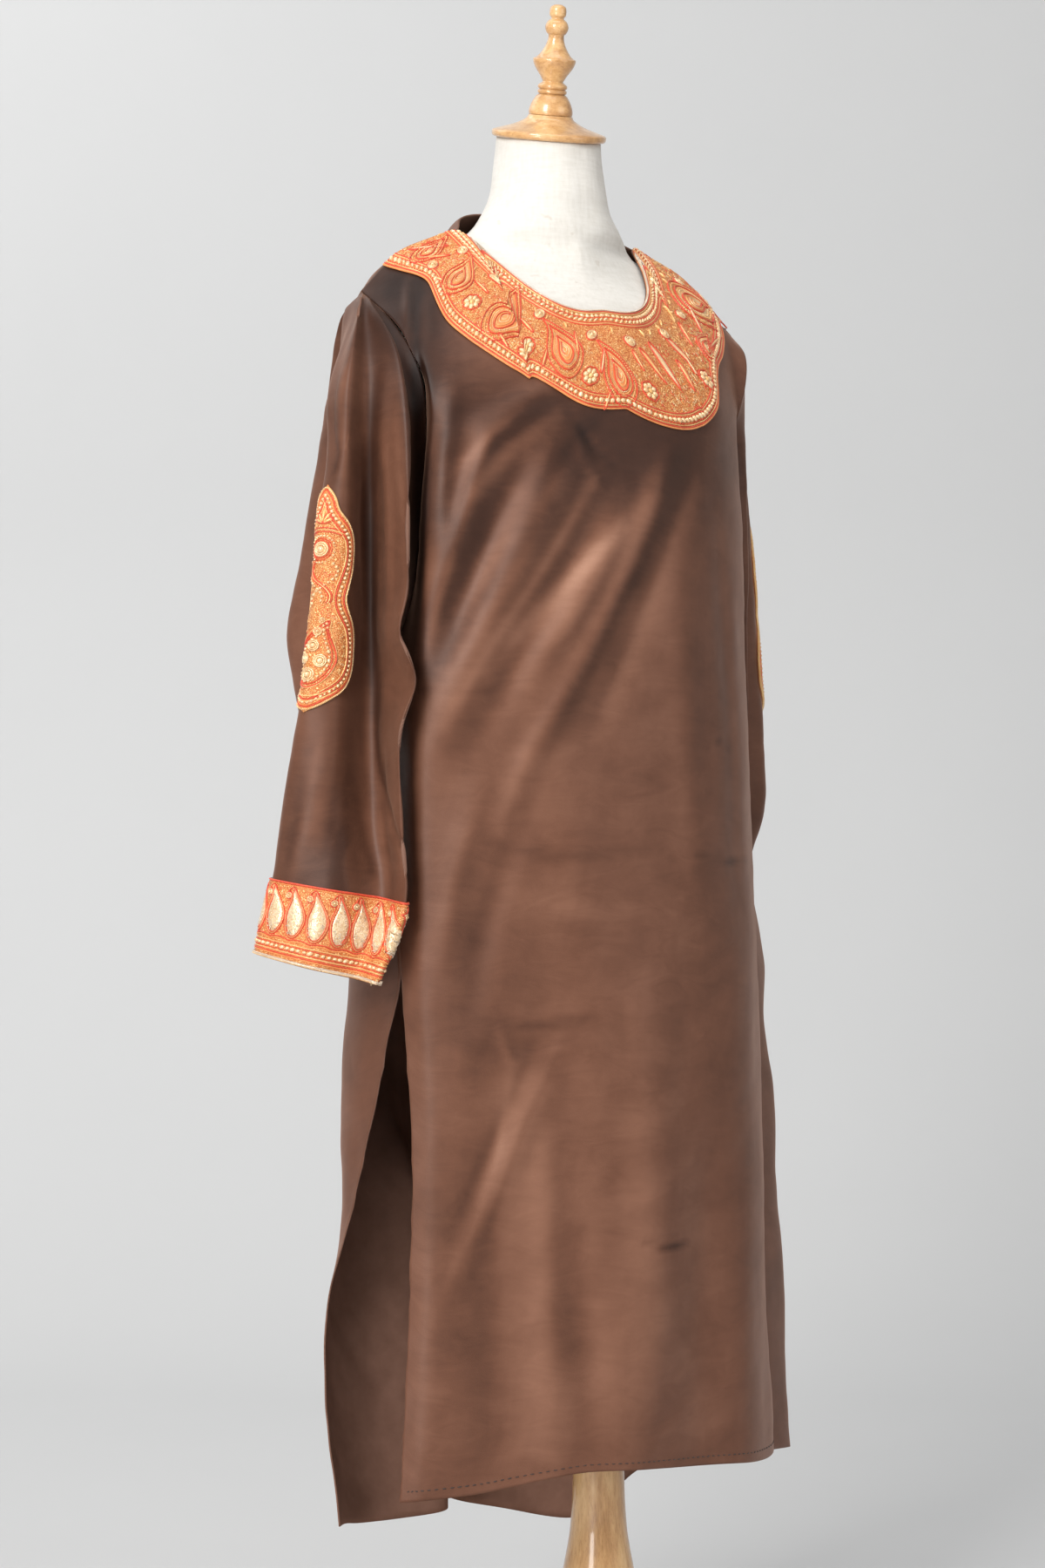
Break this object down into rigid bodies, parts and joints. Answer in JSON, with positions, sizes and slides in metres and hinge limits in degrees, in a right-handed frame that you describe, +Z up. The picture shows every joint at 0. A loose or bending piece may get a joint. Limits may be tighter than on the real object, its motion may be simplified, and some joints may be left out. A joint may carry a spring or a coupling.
{
  "type": "pheran on a dress form",
  "caption": "Loose straight-cut velvet robe with an embroidered scalloped collar, sleeve patches and cuffs, worn on a limbless linen dress form with a turned wood cap and stand.",
  "frame": {"origin": "centre of the stand base's underside, on the floor", "axes": "+Z up, the front of the garment faces -Y, the wearer's right is -X"},
  "size_m": [0.6339, 0.3578, 1.6901],
  "materials": {
    "velvet": "brown velvet with a short lying nap",
    "tilla": "dense metallic thread embroidery in gold, orange and red",
    "linen": "plain woven natural linen",
    "wood": "clear gloss varnish over turned pale wood"
  },
  "bodies": {
    "root": {"front_panel": "velvet", "back_panel": "velvet", "sleeve_right": "velvet", "sleeve_left": "velvet", "collar": "tilla", "sleeve_patch_right": "tilla", "sleeve_patch_left": "tilla", "cuff_right": "tilla", "cuff_left": "tilla", "form": "linen", "neck_cap": "wood", "finial": "wood", "pole": "wood", "base": "wood"}
  },
  "joints": []
}
